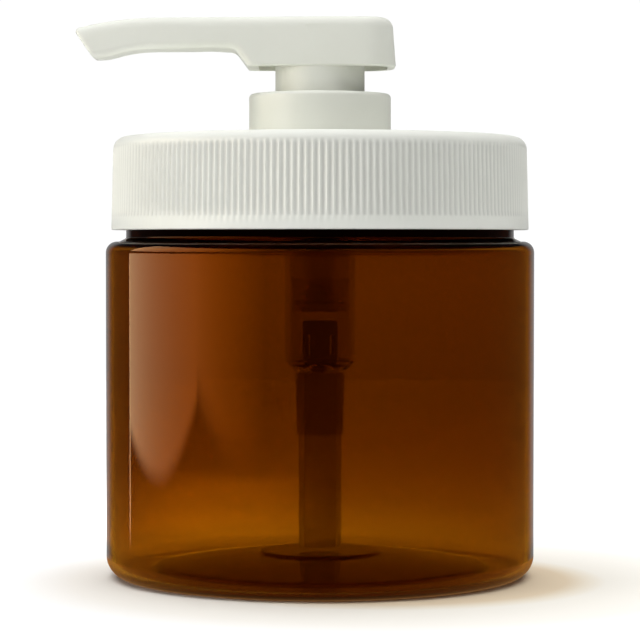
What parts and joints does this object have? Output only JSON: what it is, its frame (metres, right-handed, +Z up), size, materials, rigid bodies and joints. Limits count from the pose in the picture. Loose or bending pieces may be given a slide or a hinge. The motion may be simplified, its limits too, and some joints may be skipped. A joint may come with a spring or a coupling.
{
  "type": "pump oil bottle",
  "caption": "Wide amber jar with a ribbed white screw lid and a lotion pump whose spout dispenses massage oil.",
  "frame": {"origin": "on the jar's axis, in the plane its foot ring stands on", "axes": "+Z up along the jar's axis, the pump's spout points to -X, +Y is the side away from the front view"},
  "size_m": [0.0993, 0.093, 0.121],
  "materials": {
    "amber_pet": "clear amber PET, glossy",
    "white_cap": "smooth white polypropylene",
    "white_pump": "satin white polypropylene",
    "natural_pp": "milky natural polypropylene",
    "tube_pe": "milky polyethylene",
    "black_pp": "black polypropylene",
    "foam": "white foam sheet",
    "gasket": "soft natural elastomer",
    "steel": "bright stainless steel"
  },
  "bodies": {
    "jar": {"jar": "amber_pet"},
    "liner": {"lid_liner": "foam"},
    "lid": {"lid": "white_cap", "pump_collar": "white_pump", "pump_housing": "natural_pp", "housing_gasket": "gasket", "valve_cage": "black_pp", "dip_tube": "tube_pe", "stem_guide": "natural_pp", "return_spring": "steel"},
    "inlet_ball": {"inlet_ball": "steel"},
    "piston": {"piston": "natural_pp"},
    "head": {"pump_head": "white_pump", "stem": "natural_pp"},
    "outlet_ball": {"outlet_ball": "steel"}
  },
  "joints": [
    {"name": "lid_rise", "type": "slide", "parent": "jar", "child": "liner", "axis": [0, 0, 1], "range_m": [0, 0.00636]},
    {"name": "lid_turn", "type": "hinge", "parent": "liner", "child": "lid", "pos_m": [0, 0, 0], "axis": [0, 0, 1], "range_deg": [0, 450]},
    {"name": "pump_stroke", "type": "slide", "parent": "lid", "child": "piston", "axis": [0, 0, 1], "range_m": [0, 0.014], "deforming": ["return_spring"]},
    {"name": "head_turn", "type": "hinge", "parent": "piston", "child": "head", "pos_m": [0, 0, 0], "axis": [0, 0, 1], "continuous": true},
    {"name": "outlet_ball_lift", "type": "slide", "parent": "head", "child": "outlet_ball", "axis": [0, 0, 1], "range_m": [0, 0.0015]},
    {"name": "inlet_ball_lift", "type": "slide", "parent": "lid", "child": "inlet_ball", "axis": [0, 0, 1], "range_m": [0, 0.0025]}
  ],
  "couplings": [
    {"joint": "lid_rise", "follows": "lid_turn", "m_per_rad": 0.00080851}
  ]
}
